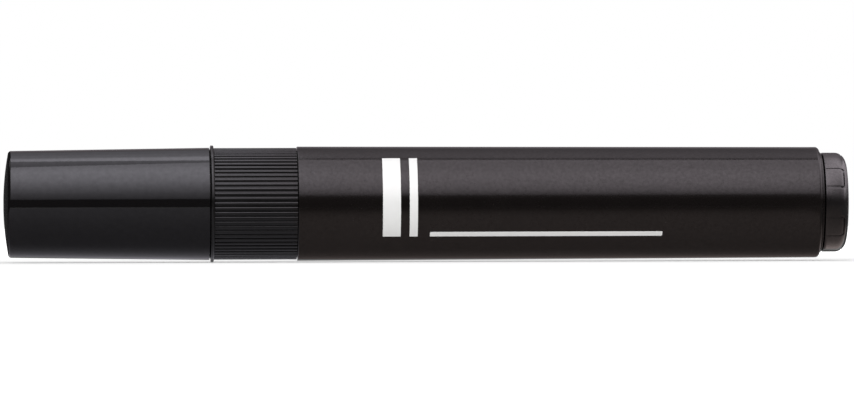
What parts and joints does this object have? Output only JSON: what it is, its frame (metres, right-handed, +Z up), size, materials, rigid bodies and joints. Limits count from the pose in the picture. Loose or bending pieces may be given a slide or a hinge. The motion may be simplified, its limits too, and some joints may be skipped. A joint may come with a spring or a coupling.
{
  "type": "permanent marker",
  "caption": "Bulky capped permanent marker with a ribbed grip, chisel nib, fibre ink reservoir, tapered barrel and end plug; the cap pulls off along the axis.",
  "frame": {"origin": "middle of the marker's length and width, on the surface that it lies on", "axes": "+X along the marker's axis from the cap to the end plug, +Z up"},
  "size_m": [0.1334, 0.0184, 0.0185],
  "materials": {
    "cap_gloss": "gloss",
    "liner_natural": "satin",
    "grip_satin": "satin",
    "nib_felt": "matte",
    "core_fibre": "matte",
    "wrap_film": "gloss",
    "barrel_satin": "satin",
    "plug_satin": "satin"
  },
  "bodies": {
    "pen": {"grip_section": "grip_satin", "nib": "nib_felt", "reservoir_core": "core_fibre", "reservoir_wrap": "wrap_film", "barrel": "barrel_satin", "end_plug": "plug_satin"},
    "cap": {"cap_shell": "cap_gloss", "cap_liner": "liner_natural"}
  },
  "joints": [
    {"name": "cap_pull", "type": "slide", "parent": "pen", "child": "cap", "axis": [-1, 0, 0], "range_m": [0, 0.045]}
  ]
}
